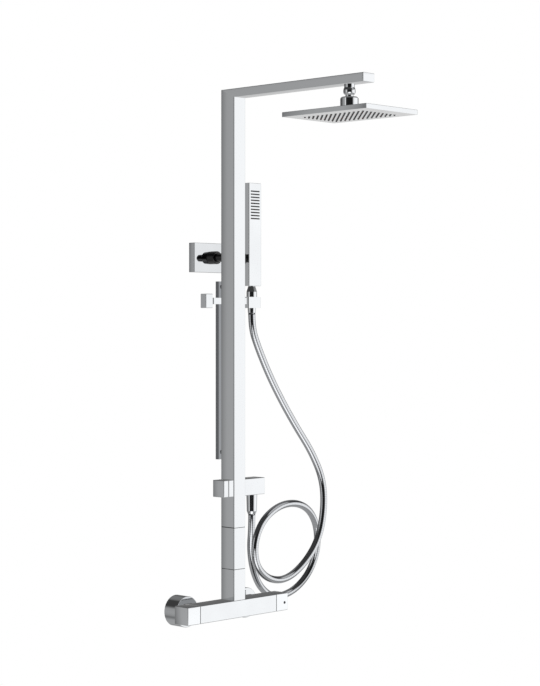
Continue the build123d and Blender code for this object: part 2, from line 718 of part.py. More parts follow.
# ---- hand shower --------------------------------------------------------------------------
# A flat bar, hollow, with a row of spray slots through its front wall and a silicone insert
# behind them. Its inlet screws into the hose's upper nut.
hand_wall = 1.6
hand_front_y = holder_y - handset_thick / 2
slots_mid_z = slot_first_z + slot_pitch * (slot_count - 1) / 2
with BuildPart() as handset_body:
    with BuildSketch(Plane.XY.offset(handset_bottom_z)):
        with Locations((holder_x, holder_y)):
            RectangleRounded(handset_width, handset_thick, 1.0)
    extrude(amount=handset_top_z - handset_bottom_z)
    fillet(handset_body.faces().sort_by(Axis.Z)[-1].edges(), 0.6)
    fillet(handset_body.faces().sort_by(Axis.Z)[0].edges(), 0.6)
    with BuildSketch(Plane.XY.offset(handset_bottom_z + hand_wall)):
        with Locations((holder_x, holder_y)):
            Rectangle(handset_width - 2 * hand_wall, handset_thick - 2 * hand_wall)
    extrude(amount=handset_top_z - handset_bottom_z - 2 * hand_wall, mode=Mode.SUBTRACT)
    with BuildSketch(Plane.XZ.offset(-hand_front_y)):
        with Locations((holder_x, slots_mid_z)):
            with GridLocations(1, slot_pitch, 1, slot_count):
                Rectangle(slot_width, slot_height)
    extrude(amount=-hand_wall - 0.5, mode=Mode.SUBTRACT)
    with BuildSketch(Plane.XY.offset(handset_bottom_z)):
        with Locations((holder_x, holder_y)):
            Circle(6.05)
    extrude(amount=3, mode=Mode.SUBTRACT)
handset_body.part.label = "handset_body"
pieces.append(handset_body)

with BuildPart() as handset_nozzle_insert:
    with BuildSketch(Plane.XZ.offset(-hand_front_y - hand_wall - 0.05)):
        with Locations((holder_x, slots_mid_z)):
            Rectangle(slot_width + 3, slot_pitch * slot_count + 4)
    extrude(amount=-2)
    with BuildSketch(Plane.XZ.offset(-hand_front_y - hand_wall - 0.05)):
        with Locations((holder_x, slots_mid_z)):
            with GridLocations(1, slot_pitch, 1, slot_count):
                Rectangle(slot_width - 0.1, slot_height - 0.1)
    extrude(amount=1.1)
handset_nozzle_insert.part.label = "handset_nozzle_insert"
pieces.append(handset_nozzle_insert)

with BuildPart() as handset_inlet:
    with BuildSketch(Plane.XY.offset(562.2)):
        with Locations((holder_x, holder_y)):
            Circle(6)
    extrude(amount=handset_bottom_z + hand_wall - 562.2)
    with BuildSketch(Plane.XY.offset(handset_bottom_z + hand_wall)):
        with Locations((holder_x, holder_y)):
            Circle(7)
    extrude(amount=4)
    with BuildSketch(Plane.XY.offset(562.2)):
        with Locations((holder_x, holder_y)):
            Circle(4)
    extrude(amount=30, mode=Mode.SUBTRACT)
handset_inlet.part.label = "handset_inlet"
pieces.append(handset_inlet)

hose_top_z = hose_route[0][2]
with BuildPart() as hose_cone_nut:
    with BuildSketch(Plane.XZ.offset(-holder_y)):
        with BuildLine():
            Polyline(
                (holder_x + hose_bore_r, hose_top_z),
                (holder_x + 7, hose_top_z),
                (holder_x + cone_bottom_r, cone_bottom_z),
                (holder_x + cone_top_r, cone_top_z),
                (holder_x + cone_top_r, 569),
                (holder_x + 6.6, 578.8),
                (holder_x + 6.05, 578.8),
                (holder_x + 6.05, 562),
                (holder_x + hose_bore_r, 562),
                close=True,
            )
        make_face()
    revolve(axis=holder_axis)
hose_cone_nut.part.label = "hose_cone_nut"
pieces.append(hose_cone_nut)

# ---- diverter and hose outlet -------------------------------------------------------------
# One brass body passes through the riser: the diverter cartridge and its knob at the left, the
# hose outlet at the right, and the pipes from below and above in the middle.
outlet_bottom_z = outlet_z - outlet_height / 2
outlet_top_z = outlet_z + outlet_height / 2
with BuildPart() as outlet_body:
    with BuildSketch(Plane.YZ.offset(outlet_left_x)):
        with Locations((outlet_y, outlet_z)):
            RectangleRounded(outlet_depth, outlet_height, 1.0)
    extrude(amount=outlet_right_x - outlet_left_x)
    fillet(outlet_body.faces().sort_by(Axis.X)[-1].edges(), 0.8)
    with BuildSketch(Plane.YZ.offset(outlet_left_x)):
        with Locations((outlet_y, outlet_z)):
            Circle(9)
    extrude(amount=36, mode=Mode.SUBTRACT)
    with BuildSketch(Plane.YZ.offset(outlet_left_x + 36)):
        with Locations((outlet_y, outlet_z)):
            Circle(4)
    extrude(amount=holder_x + 4 - outlet_left_x - 36, mode=Mode.SUBTRACT)
    for z, way in ((outlet_bottom_z, 1), (outlet_top_z, -1)):
        with BuildSketch(Plane.XY.offset(z)):
            with Locations((0, column_y)):
                Circle(5.05)
        extrude(amount=way * 6.1, mode=Mode.SUBTRACT)
    with BuildSketch(Plane.XY.offset(outlet_bottom_z)):
        with Locations((0, column_y)):
            Circle(3.5)
    extrude(amount=outlet_height, mode=Mode.SUBTRACT)
    with BuildSketch(Plane.XY.offset(outlet_bottom_z)):
        with Locations((holder_x, holder_y)):
            Circle(8.35)
    extrude(amount=5.6, mode=Mode.SUBTRACT)
    with BuildSketch(Plane.XY.offset(outlet_bottom_z)):
        with Locations((holder_x, holder_y)):
            Circle(4)
    extrude(amount=15, mode=Mode.SUBTRACT)
outlet_body.part.label = "outlet_body"
pieces.append(outlet_body)

with BuildPart() as diverter_cartridge:
    with BuildSketch(Plane.YZ.offset(outlet_left_x - 1.5)):
        with Locations((outlet_y, outlet_z)):
            Circle(8.9)
    extrude(amount=8.5)
    with BuildSketch(Plane.YZ.offset(outlet_left_x + 7)):
        with Locations((outlet_y, outlet_z)):
            Circle(6)
    extrude(amount=28.5)
    with BuildSketch(Plane.YZ.offset(outlet_left_x + 29)):
        with Locations((outlet_y, outlet_z)):
            Circle(8.9)
    extrude(amount=6.5)
    with BuildSketch(Plane.YZ.offset(outlet_left_x - 1.5)):
        with Locations((outlet_y, outlet_z)):
            Circle(3.05)
    extrude(amount=18, mode=Mode.SUBTRACT)
diverter_cartridge.part.label = "diverter_cartridge"
pieces.append(diverter_cartridge)

with BuildPart() as diverter_knob:
    with BuildSketch(Plane.YZ.offset(-37.5)):
        with Locations((outlet_y, outlet_z)):
            RectangleRounded(outlet_depth, outlet_height, 1.0)
    extrude(amount=10.5)
    fillet(diverter_knob.faces().sort_by(Axis.X)[0].edges(), 0.8)
    with BuildSketch(Plane.YZ.offset(-27)):
        with Locations((outlet_y, outlet_z)):
            Circle(3)
    extrude(amount=18)
diverter_knob.part.label = "diverter_knob"
pieces.append(diverter_knob)

hose_end_z = hose_route[-1][2]
with BuildPart() as hose_nipple:
    with BuildSketch(Plane.XY.offset(190.2)):
        with Locations((holder_x, holder_y)):
            Circle(8.3)
            Circle(4, mode=Mode.SUBTRACT)
    extrude(amount=outlet_bottom_z + 5.5 - 190.2)
hose_nipple.part.label = "hose_nipple"
pieces.append(hose_nipple)

with BuildPart() as hose_lower_nut:
    with BuildSketch(Plane.XZ.offset(-holder_y)):
        with BuildLine():
            Polyline(
                (holder_x + hose_bore_r, hose_end_z),
                (holder_x + 7.4, hose_end_z),
                (holder_x + 9.2, hose_end_z + 5),
                (holder_x + 10, outlet_bottom_z - 0.3),
                (holder_x + 8.35, outlet_bottom_z - 0.3),
                (holder_x + 8.35, 190),
                (holder_x + hose_bore_r, 190),
                close=True,
            )
        make_face()
    revolve(axis=holder_axis)
hose_lower_nut.part.label = "hose_lower_nut"
pieces.append(hose_lower_nut)

# ---- hose ---------------------------------------------------------------------------------
# Straight runs and tangent arcs; each arc is as large as its two runs allow.
points = [Vector(*p) for p in hose_route]
runs = [b - a for a, b in zip(points, points[1:])]
turns = [a.get_angle(b) for a, b in zip(runs, runs[1:])]
radii = [
    0.45 * min(a.length, b.length) / tan(radians(t / 2)) for a, b, t in zip(runs, runs[1:], turns)
]
with BuildPart() as hose_tube:
    with BuildLine() as hose_path:
        FilletPolyline(*points, radius=radii)
    with BuildSketch(Plane(points[0], z_dir=runs[0])):
        Circle(hose_d / 2)
    sweep(path=hose_path.line)
hose_tube.part.label = "hose_tube"
pieces.append(hose_tube)
hose_length = hose_path.wires()[0].length
hose_section = pi * (hose_d / 2) ** 2
print("hose length", round(hose_length, 1), "radii", [round(r, 1) for r in radii])
print("volume / (section x length)", round(hose_tube.part.volume / hose_section / hose_length, 4))

for piece in pieces:
    export_step(piece.part, f"parts/{piece.part.label}.step")
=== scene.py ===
import math

import bmesh
import bpy
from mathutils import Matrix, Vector


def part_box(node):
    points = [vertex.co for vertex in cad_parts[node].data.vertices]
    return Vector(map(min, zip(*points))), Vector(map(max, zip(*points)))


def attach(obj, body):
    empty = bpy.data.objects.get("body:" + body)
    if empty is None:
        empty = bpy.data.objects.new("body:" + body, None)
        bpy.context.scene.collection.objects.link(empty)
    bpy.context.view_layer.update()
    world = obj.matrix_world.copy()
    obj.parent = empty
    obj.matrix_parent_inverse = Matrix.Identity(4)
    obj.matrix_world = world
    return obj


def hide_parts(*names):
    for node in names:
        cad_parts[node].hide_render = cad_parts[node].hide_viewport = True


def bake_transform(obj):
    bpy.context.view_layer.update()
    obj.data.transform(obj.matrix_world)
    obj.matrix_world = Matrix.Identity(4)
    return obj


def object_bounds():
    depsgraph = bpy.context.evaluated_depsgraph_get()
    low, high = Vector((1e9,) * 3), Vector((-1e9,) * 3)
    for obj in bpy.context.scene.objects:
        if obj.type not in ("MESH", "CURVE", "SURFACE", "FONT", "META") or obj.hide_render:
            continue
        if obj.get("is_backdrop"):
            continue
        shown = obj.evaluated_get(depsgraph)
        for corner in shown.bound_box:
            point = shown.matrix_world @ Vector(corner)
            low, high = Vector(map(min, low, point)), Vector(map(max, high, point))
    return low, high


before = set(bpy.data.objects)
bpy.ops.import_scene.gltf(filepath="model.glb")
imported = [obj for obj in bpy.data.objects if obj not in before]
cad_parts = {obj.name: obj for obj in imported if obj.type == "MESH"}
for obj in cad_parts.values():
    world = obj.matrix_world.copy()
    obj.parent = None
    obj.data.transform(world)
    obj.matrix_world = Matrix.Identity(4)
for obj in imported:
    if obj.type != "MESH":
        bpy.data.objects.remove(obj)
cad_low, cad_high = (Vector(corner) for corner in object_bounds())
scene = bpy.context.scene
scene.view_settings.view_transform = "Standard"

# CAMERA
# A level camera stands to the left of the column, as high as the middle of the riser, and looks
# past its left front edge. The long lens keeps the riser's edges upright and nearly parallel.
lens_mm, sensor_mm = 95.14, 36.0
camera_place = (-2.2946, -2.3622, 0.509)
camera_turn = math.radians(-46.2)
framing_shift = -0.0262

camera_data = bpy.data.cameras.new("product_camera")
camera_data.lens = lens_mm
camera_data.sensor_width = sensor_mm
camera_data.shift_y = framing_shift
camera_data.clip_end = 50
camera = bpy.data.objects.new("product_camera", camera_data)
camera.location = camera_place
camera.rotation_euler = (math.radians(90), 0, camera_turn)
scene.collection.objects.link(camera)
scene.camera = camera


def linear(colour):
    """An sRGB hex colour as the linear RGBA that a shader socket takes."""
    parts = [int(colour[i : i + 2], 16) / 255 for i in (1, 3, 5)]
    return [c / 12.92 if c <= 0.04045 else ((c + 0.055) / 1.055) ** 2.4 for c in parts] + [1.0]


def add_node(tree, kind, inputs=None, **settings):
    """Adds a node, sets its properties, and gives each named input a value or a link."""
    node = tree.nodes.new(kind)
    for name, value in settings.items():
        setattr(node, name, value)
    for name, value in (inputs or {}).items():
        if isinstance(value, bpy.types.NodeSocket):
            tree.links.new(value, node.inputs[name])
        else:
            node.inputs[name].default_value = value
    return node


def new_material(name):
    """An empty node material, and its tree."""
    material = bpy.data.materials.new(name)
    material.use_nodes = True
    material.node_tree.nodes.clear()
    return material, material.node_tree


# SHOWER HOSE
# A silver PVC shower hose: a polyester-braided core under a metallised sleeve with a clear, glossy
# skin. It leaves the handset's cone nut, makes one loose turn and climbs into the outlet's nut.
hose_diameter = 0.013
hose_route = [
    (0.048, -0.070, 0.531), (0.048, -0.070, 0.504), (0.062, -0.071, 0.470),
    (0.091, -0.073, 0.416), (0.123, -0.077, 0.365), (0.155, -0.081, 0.320),
    (0.189, -0.088, 0.273), (0.211, -0.096, 0.221), (0.210, -0.100, 0.167),
    (0.197, -0.098, 0.111), (0.168, -0.090, 0.069), (0.128, -0.082, 0.042),
    (0.085, -0.079, 0.045), (0.052, -0.078, 0.071), (0.043, -0.080, 0.112),
    (0.060, -0.083, 0.154), (0.100, -0.085, 0.179), (0.146, -0.085, 0.183),
    (0.189, -0.082, 0.167), (0.219, -0.075, 0.130), (0.228, -0.066, 0.084),
    (0.216, -0.055, 0.040), (0.186, -0.042, 0.009), (0.142, -0.036, 0.002),
    (0.102, -0.040, 0.024), (0.074, -0.048, 0.060), (0.055, -0.059, 0.103),
    (0.048, -0.070, 0.142), (0.048, -0.070, 0.168),
]
hose_sides = 28
wrap_pitch = 0.0042
mottle_mm = 11.111

hose_line = bpy.data.curves.new("hose_line", "CURVE")
hose_line.dimensions = "3D"
hose_line.resolution_u = 12
hose_spline = hose_line.splines.new("NURBS")
hose_spline.points.add(len(hose_route) - 1)
for point, place in zip(hose_spline.points, hose_route):
    point.co = (*place, 1)
hose_spline.order_u = 3
hose_spline.use_endpoint_u = True
line_object = bpy.data.objects.new("hose_line", hose_line)
scene.collection.objects.link(line_object)
bpy.context.view_layer.update()
line_mesh = bpy.data.meshes.new_from_object(
    line_object.evaluated_get(bpy.context.evaluated_depsgraph_get())
)
hose_path = [v.co.copy() for v in line_mesh.vertices]
bpy.data.objects.remove(line_object)
bpy.data.meshes.remove(line_mesh)


def link_mesh(name, verts, faces, smooth=True):
    """A mesh object at the origin, linked to the scene."""
    mesh = bpy.data.meshes.new(name)
    mesh.from_pydata([tuple(v) for v in verts], [], faces)
    mesh.polygons.foreach_set("use_smooth", [smooth] * len(mesh.polygons))
    mesh.update()
    made = bpy.data.objects.new(name, mesh)
    scene.collection.objects.link(made)
    return made


def sweep_tube(name, path, radius, sides):
    """A closed tube along a path, with a UV map of turns around it and metres along it."""
    verts, faces, along = [], [], [0.0]
    for a, b in zip(path, path[1:]):
        along.append(along[-1] + (b - a).length)
    side = (path[1] - path[0]).orthogonal().normalized()
    for i, place in enumerate(path):
        forward = (path[min(i + 1, len(path) - 1)] - path[max(i - 1, 0)]).normalized()
        side = (side - side.dot(forward) * forward).normalized()
        other = forward.cross(side)
        for k in range(sides):
            turn = 2 * math.pi * k / sides
            verts.append(place + radius * (math.cos(turn) * side + math.sin(turn) * other))
    for i in range(len(path) - 1):
        for k in range(sides):
            n = (k + 1) % sides
            faces.append((i * sides + k, i * sides + n, (i + 1) * sides + n, (i + 1) * sides + k))
    last = (len(path) - 1) * sides
    faces.append(tuple(reversed(range(sides))))
    faces.append(tuple(range(last, last + sides)))
    tube = link_mesh(name, verts, faces)
    layer = tube.data.uv_layers.new(name="UVMap")
    for polygon in tube.data.polygons:
        for loop in polygon.loop_indices:
            vertex = tube.data.loops[loop].vertex_index
            ring, k = divmod(vertex, sides)
            if k == 0 and len(polygon.vertices) == 4 and (sides - 1) in [
                v % sides for v in polygon.vertices
            ]:
                k = sides
            layer.data[loop].uv = (k / sides, along[ring])
    return tube


# Metallised PVC under a clear skin: a darker, softer mirror than plating, with the faint turns of
# the spiral wrap, 4.2 mm apart, showing through.
hose_skin, tree = new_material("metallised_pvc_hose")
uv = add_node(tree, "ShaderNodeUVMap", uv_map="UVMap")
split = add_node(tree, "ShaderNodeSeparateXYZ", {"Vector": uv.outputs["UV"]})
turns = add_node(
    tree, "ShaderNodeMath", {0: split.outputs["Y"], 1: 1 / wrap_pitch}, operation="MULTIPLY"
)
spiral = add_node(
    tree, "ShaderNodeMath", {0: turns.outputs[0], 1: split.outputs["X"]}, operation="ADD"
)
wave = add_node(
    tree, "ShaderNodeMath", {0: spiral.outputs[0], 1: 2 * math.pi}, operation="MULTIPLY"
)
ripple = add_node(tree, "ShaderNodeMath", {0: wave.outputs[0]}, operation="SINE")
place = add_node(tree, "ShaderNodeTexCoord")
mottle = add_node(
    tree,
    "ShaderNodeTexNoise",
    {"Vector": place.outputs["Object"], "Scale": 1000 / mottle_mm, "Detail": 3.0},
)
skin_bump = add_node(
    tree,
    "ShaderNodeBump",
    {"Strength": 0.05, "Distance": 0.0001, "Height": ripple.outputs[0]},
)
skin_tone = add_node(tree, "ShaderNodeMapRange", {0: ripple.outputs[0], 1: -1.0, 2: 1.0})
skin_colour = add_node(
    tree,
    "ShaderNodeMixRGB",
    {0: skin_tone.outputs[0], 1: linear("#B2B4B7"), 2: linear("#C2C4C7")},
)
skin_rough = add_node(
    tree, "ShaderNodeMapRange", {0: mottle.outputs["Fac"], 3: 0.045, 4: 0.09}
)
skin = add_node(
    tree,
    "ShaderNodeBsdfPrincipled",
    {
        "Base Color": skin_colour.outputs[0],
        "Metallic": 1.0,
        "Roughness": skin_rough.outputs[0],
        "Coat Weight": 0.3,
        "Coat Roughness": 0.05,
        "Normal": skin_bump.outputs[0],
    },
)
add_node(tree, "ShaderNodeOutputMaterial", {"Surface": skin.outputs[0]})

hose = sweep_tube("shower_hose", hose_path, hose_diameter / 2, hose_sides)
hose.data.materials.append(hose_skin)
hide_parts("hose_tube")
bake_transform(hose)

# ROOM
# A plain pale floor under the hanging set, and plain soft studio light: a broad white softbox at
# the right front, a soft one above, and a darker room on the other sides for the chrome to mirror.
floor_drop, floor_grain_mm = 0.30, 33.333
floor_z = cad_low.z - floor_drop
floor_left, floor_right, floor_front, floor_back = -1.6, 1.2, -1.9, 0.12

floor = link_mesh(
    "pale_floor",
    [
        (floor_left, floor_front, floor_z), (floor_right, floor_front, floor_z),
        (floor_right, floor_back, floor_z), (floor_left, floor_back, floor_z),
    ],
    [(0, 1, 2, 3)],
    smooth=False,
)
floor_paint, tree = new_material("pale_studio_floor")
place = add_node(tree, "ShaderNodeTexCoord")
grain = add_node(
    tree,
    "ShaderNodeTexNoise",
    {"Vector": place.outputs["Object"], "Scale": 1000 / floor_grain_mm},
)
floor_tone = add_node(
    tree, "ShaderNodeMixRGB", {0: grain.outputs["Fac"], 1: linear("#F4F4F4"), 2: linear("#FAFAFA")}
)
floor_coat = add_node(
    tree,
    "ShaderNodeBsdfPrincipled",
    {
        "Base Color": floor_tone.outputs[0],
        "Roughness": 0.9,
        "Emission Color": linear("#FFFFFF"),
        "Emission Strength": 0.8,
    },
)
add_node(tree, "ShaderNodeOutputMaterial", {"Surface": floor_coat.outputs[0]})
floor.data.materials.append(floor_paint)
floor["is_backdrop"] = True
floor.visible_glossy = False

studio = bpy.data.worlds.new("studio")
studio.use_nodes = True
scene.world = studio
tree = studio.node_tree
tree.nodes.clear()
look = add_node(tree, "ShaderNodeTexCoord")
axes = add_node(tree, "ShaderNodeSeparateXYZ", {"Vector": look.outputs["Generated"]})
bearing = add_node(
    tree, "ShaderNodeMath", {0: axes.outputs["Y"], 1: axes.outputs["X"]}, operation="ARCTAN2"
)
round_room = add_node(
    tree, "ShaderNodeMapRange", {0: bearing.outputs[0], 1: -math.pi, 2: math.pi}
)


def room_band(stops):
    """Brightness around the room, as (bearing in degrees from +X towards +Y, brightness)."""
    ramp = add_node(tree, "ShaderNodeValToRGB", {0: round_room.outputs[0]})
    elements = ramp.color_ramp.elements
    while len(elements) > 1:
        elements.remove(elements[-1])
    for i, (degrees, level) in enumerate(stops):
        spot = (degrees + 180) / 360
        if i == 0:
            elements[0].position = spot
        else:
            elements.new(spot)
        elements[i].color = (level / 2, level / 2, level / 2, 1)
    return add_node(tree, "ShaderNodeMath", {0: ramp.outputs[0], 1: 2.0}, operation="MULTIPLY")


upper_band = room_band(
    [
        (-180, 0.10), (-166, 0.02), (-98, 0.02), (-90, 0.8), (-78, 1.3), (-60, 1.48),
        (-26, 1.48), (-12, 0.7), (4, 0.45), (24, 0.30), (34, 0.17), (60, 0.17), (80, 0.12),
        (118, 0.12), (129, 0.40), (134, 0.50), (143, 0.52), (150, 0.30), (157, 0.14),
        (161, 1.2), (172, 1.2), (177, 0.10), (180, 0.10),
    ]
)
lower_band = room_band(
    [
        (-180, 0.10), (-166, 0.02), (-98, 0.02), (-90, 0.8), (-78, 1.3), (-60, 1.48),
        (-26, 1.48), (-12, 0.9), (4, 0.75), (24, 0.68), (74, 0.66), (96, 0.25), (118, 0.14),
        (129, 0.42), (134, 0.52), (143, 0.54), (150, 0.30), (157, 0.14), (161, 1.2),
        (172, 1.2), (177, 0.10), (180, 0.10),
    ]
)
below = add_node(tree, "ShaderNodeMapRange", {0: axes.outputs["Z"], 1: 0.03, 2: -0.03})
band = add_node(
    tree,
    "ShaderNodeMix",
    {0: below.outputs[0], 2: upper_band.outputs[0], 3: lower_band.outputs[0]},
    data_type="FLOAT",
)
fade_up = add_node(
    tree,
    "ShaderNodeMapRange",
    {0: axes.outputs["Z"], 1: 0.18, 2: 0.46, 3: 1.0, 4: 0.0},
    interpolation_type="SMOOTHSTEP",
)
fade_down = add_node(
    tree,
    "ShaderNodeMapRange",
    {0: axes.outputs["Z"], 1: -0.55, 2: -0.38, 3: 0.0, 4: 1.0},
    interpolation_type="SMOOTHSTEP",
)
near_horizon = add_node(
    tree, "ShaderNodeMath", {0: fade_up.outputs[0], 1: fade_down.outputs[0]}, operation="MULTIPLY"
)


def soft_card(aim, edge, core, dark, bright):
    """The light of a soft-edged card: dark to bright between two cosines off its aim."""
    facing = add_node(
        tree,
        "ShaderNodeVectorMath",
        {0: look.outputs["Generated"], 1: Vector(aim).normalized()},
        operation="DOT_PRODUCT",
    )
    card = add_node(
        tree,
        "ShaderNodeMapRange",
        {0: facing.outputs["Value"], 1: edge, 2: core, 3: dark, 4: bright},
        interpolation_type="SMOOTHSTEP",
    )
    return card.outputs[0]


top_box = soft_card((0.35, -0.55, 0.76), 0.90, 0.95, 0.07, 0.8)
room_light = add_node(
    tree,
    "ShaderNodeMix",
    {0: near_horizon.outputs[0], 2: top_box, 3: band.outputs[0]},
    data_type="FLOAT",
)
# A low reflector in front throws a narrow light on everything that bulges downwards.
low_card = soft_card((-0.583, -0.559, -0.588), 0.885, 0.935, 0.0, 1.35)
floor_glow = add_node(
    tree, "ShaderNodeMapRange", {0: axes.outputs["Z"], 1: -0.42, 2: -0.65, 3: 0.0, 4: 0.45}
)
low_light = add_node(
    tree, "ShaderNodeMath", {0: low_card, 1: floor_glow.outputs[0]}, operation="ADD"
)
# A soft bounce high at the back right keeps the tops from going black.
high_card = soft_card((0.42, 0.42, 0.80), 0.80, 0.92, 0.0, 0.2)
cards = add_node(
    tree, "ShaderNodeMath", {0: high_card, 1: low_light.outputs[0]}, operation="ADD"
)
all_light = add_node(
    tree, "ShaderNodeMath", {0: room_light.outputs[0], 1: cards.outputs[0]}, operation="ADD"
)
seen = add_node(tree, "ShaderNodeLightPath")
backdrop = add_node(
    tree,
    "ShaderNodeMix",
    {0: seen.outputs["Is Camera Ray"], 2: all_light.outputs[0], 3: 1.0},
    data_type="FLOAT",
)
sky = add_node(
    tree, "ShaderNodeBackground", {"Color": (1, 1, 1, 1), "Strength": backdrop.outputs[0]}
)
add_node(tree, "ShaderNodeOutputWorld", {"Surface": sky.outputs[0]})

softbox_side, softbox_watts = 2.4, 25
softbox_place, softbox_aim = Vector((2.1, -2.6, 1.2)), Vector((0, -0.1, 0.4))
softbox = bpy.data.lights.new("right_front_softbox", "AREA")
softbox.shape = "RECTANGLE"
softbox.size = softbox.size_y = softbox_side
softbox.energy = softbox_watts
softbox_object = bpy.data.objects.new("right_front_softbox", softbox)
softbox_object.location = softbox_place
softbox_object.rotation_euler = (
    (softbox_aim - softbox_place).to_track_quat("-Z", "Y").to_euler()
)
softbox_object.visible_glossy = False
scene.collection.objects.link(softbox_object)

# COLUMN
# The riser and the arm are square-cornered extruded brass tube, polished and chrome plated. The
# arm is brazed to the riser at a mitre; a short sleeve closes the foot between two fine seams.
crown_tilt, edge_roll = 5.0, 2.0


def plated(
    name, base, high, polish, swirl_mm, wave_strength, wave_mm=60.0, stretch=(1, 1, 1), section=None
):
    """Chrome plate on brass: a mirror with faint buffing swirls and the base metal's soft waves.
    section is the (centre, half size) of a square-edged piece, whose faces buffing rolls off
    towards their edges; an axis with half size 0 has none."""
    material, tree = new_material(name)
    place = add_node(tree, "ShaderNodeTexCoord")
    turned = add_node(
        tree, "ShaderNodeMapping", {"Vector": place.outputs["Object"], "Scale": stretch}
    )
    swirl = add_node(
        tree,
        "ShaderNodeTexNoise",
        {"Vector": turned.outputs[0], "Scale": 1000 / swirl_mm, "Detail": 4.0, "Roughness": 0.6},
    )
    soft = add_node(
        tree,
        "ShaderNodeTexNoise",
        {"Vector": turned.outputs[0], "Scale": 1000 / wave_mm, "Detail": 1.0},
    )
    mist = add_node(
        tree,
        "ShaderNodeMapRange",
        {0: swirl.outputs["Fac"], 1: 0.3, 2: 0.7, 3: polish * 0.6, 4: polish * 1.5},
    )
    worn = add_node(
        tree,
        "ShaderNodeMixRGB",
        {0: soft.outputs["Fac"], 1: linear(base), 2: linear(high)},
    )
    relief = add_node(
        tree,
        "ShaderNodeMath",
        {0: soft.outputs["Fac"], 1: 0.0004 * wave_strength},
        operation="MULTIPLY",
    )
    if section:
        centre, half = section
        spot = add_node(tree, "ShaderNodeSeparateXYZ", {"Vector": place.outputs["Object"]})
        for axis in range(3):
            if half[axis] == 0:
                continue
            off = add_node(
                tree,
                "ShaderNodeMath",
                {0: spot.outputs[axis], 1: centre[axis]},
                operation="SUBTRACT",
            )
            share = add_node(
                tree, "ShaderNodeMath", {0: off.outputs[0], 1: half[axis]}, operation="DIVIDE"
            )
            square = add_node(
                tree, "ShaderNodeMath", {0: share.outputs[0], 1: share.outputs[0]},
                operation="MULTIPLY",
            )
            for power, edge_tilt in ((1.0, crown_tilt), (8.0, edge_roll)):
                rolled = add_node(
                    tree, "ShaderNodeMath", {0: square.outputs[0], 1: power}, operation="POWER"
                )
                drop = -math.tan(math.radians(edge_tilt)) * half[axis] / (2 * power)
                relief = add_node(
                    tree,
                    "ShaderNodeMath",
                    {0: rolled.outputs[0], 1: drop, 2: relief.outputs[0]},
                    operation="MULTIPLY_ADD",
                )
    bump = add_node(
        tree, "ShaderNodeBump", {"Strength": 1.0, "Distance": 1.0, "Height": relief.outputs[0]}
    )
    surface = add_node(
        tree,
        "ShaderNodeBsdfPrincipled",
        {
            "Base Color": worn.outputs[0],
            "Metallic": 1.0,
            "Roughness": mist.outputs[0],
            "Normal": bump.outputs[0],
        },
    )
    add_node(tree, "ShaderNodeOutputMaterial", {"Surface": surface.outputs[0]})
    return material


def cross_section(*names, along=()):
    """The centre and half size of these CAD nodes' common box, with none along the given axes."""
    lows, highs = zip(*(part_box(name) for name in names))
    low = Vector([min(v[i] for v in lows) for i in range(3)])
    high = Vector([max(v[i] for v in highs) for i in range(3)])
    half = (high - low) / 2
    for axis in along:
        half["XYZ".index(axis)] = 0
    return (low + high) / 2, half


def finish_nodes(material, *names):
    """Gives CAD nodes their finish."""
    for name in names:
        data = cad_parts[name].data
        data.materials.clear()
        data.materials.append(material)


# Drawn brass tube keeps long, faint lines along its length under the plate; they stretch the
# polish marks ten times lengthwise.
riser_chrome = plated(
    "chrome_on_drawn_riser", "#C8CACC", "#D0D2D4", 0.045, 9.0, 0.05, 90.0, (1, 1, 0.1),
    section=cross_section("riser_lower_tube", "riser_sleeve", along="Z"),
)
finish_nodes(riser_chrome, "riser_lower_tube", "riser_sleeve", "riser_tube")
arm_chrome = plated(
    "chrome_on_drawn_arm", "#C8CACC", "#D0D2D4", 0.045, 9.0, 0.12, 60.0, (1, 0.1, 1),
    section=cross_section("arm_end_cap", along="Y"),
)
finish_nodes(arm_chrome, "arm_tube", "arm_end_cap")
# The rail and its pins get a steel far darker than the plating: painted shade for the dark they lie
# in and mirror behind the riser.
shade_darkened_rail_steel = plated(
    "painted_shade_steel_bar", "#77797C", "#838588", 0.08, 9.0, 0.05, 90.0, (1, 1, 0.1)
)
# The joint core shows only in the seams, so its plating is painted dark grey: painted shade for the
# recess.
shade_painted_core = plated("painted_shade_joint_core", "#3A3B3D", "#4A4B4D", 0.3, 4.0, 0.05)
finish_nodes(shade_painted_core, "riser_core")


def face_outwards(mesh):
    """Turns a closed mesh's faces outwards."""
    shape = bmesh.new()
    shape.from_mesh(mesh)
    bmesh.ops.recalc_face_normals(shape, faces=shape.faces)
    shape.to_mesh(mesh)
    shape.free()


def square_frame(name, low, high, wall, axis):
    """A closed flat frame between two corners, open along an axis, with walls this thick."""
    others = [i for i in range(3) if i != axis]
    verts = []
    for end in (low[axis], high[axis]):
        for inset in (0, wall):
            for a, b in ((0, 0), (1, 0), (1, 1), (0, 1)):
                corner = [0.0, 0.0, 0.0]
                corner[axis] = end
                for i, far in zip(others, (a, b)):
                    corner[i] = high[i] - inset if far else low[i] + inset
                verts.append(corner)
    faces = []
    for k in range(4):
        n = (k + 1) % 4
        faces += [
            (k, n, 8 + n, 8 + k), (4 + n, 4 + k, 12 + k, 12 + n),
            (n, k, 4 + k, 4 + n), (8 + k, 8 + n, 12 + n, 12 + k),
        ]
    framed = link_mesh(name, verts, faces, smooth=False)
    face_outwards(framed.data)
    return framed


